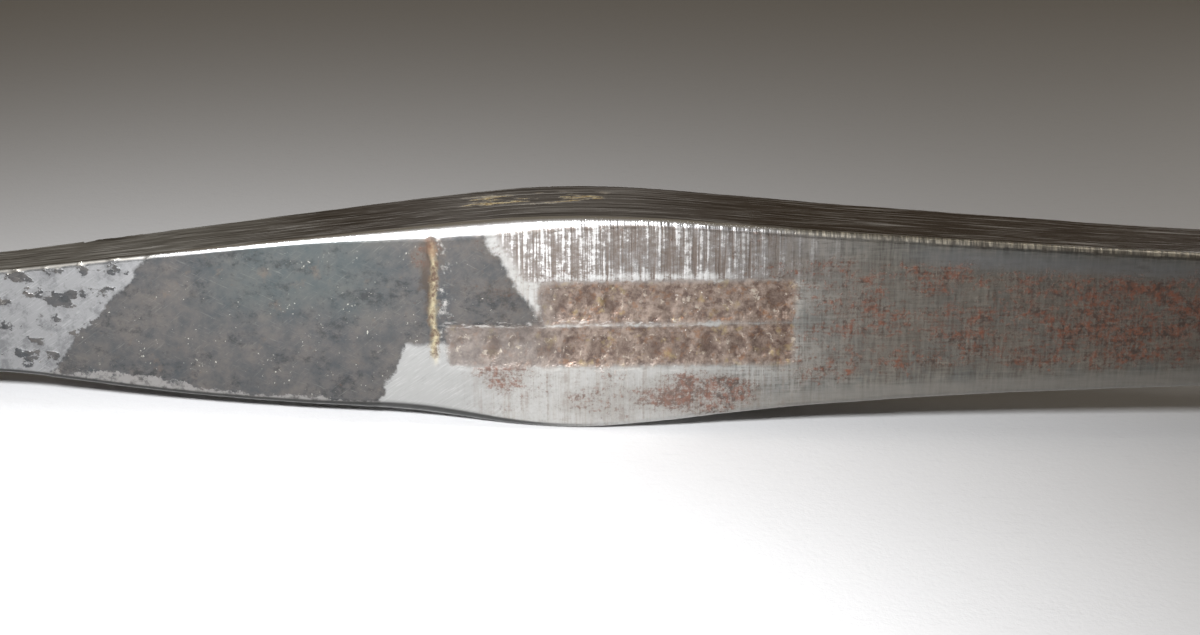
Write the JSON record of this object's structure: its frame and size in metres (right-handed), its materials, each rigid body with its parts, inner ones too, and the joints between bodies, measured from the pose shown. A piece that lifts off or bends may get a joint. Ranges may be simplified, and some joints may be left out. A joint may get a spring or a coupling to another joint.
{
  "type": "edge creaser",
  "caption": "Hand tool with a forked steel creasing head, wide filed belly and square tang in a brass-ferruled turned hardwood handle; presses a line along a leather edge.",
  "frame": {"origin": "on the tool's axis, at the mouth end of the ferrule's straight wall", "axes": "+X along the tool from the forked head to the handle's butt; +Z across the blade's width, the belly's lower crest is at -Z; the face with the two sunk bands looks to -Y"},
  "size_m": [0.1815, 0.02, 0.02],
  "materials": {
    "blade_steel": "worn, rust-freckled, filed",
    "washer_steel": "dull, rust-browned",
    "ferrule_brass": "handled, tarnished",
    "brad_brass": "filed flush",
    "handle_wood": "oiled, worn by the hand"
  },
  "bodies": {
    "root": {"blade": "blade_steel", "creasing_prong": "blade_steel", "guide_prong": "blade_steel", "bolster_washer": "washer_steel", "ferrule": "ferrule_brass", "ferrule_brads": "brad_brass", "handle": "handle_wood"}
  },
  "joints": []
}
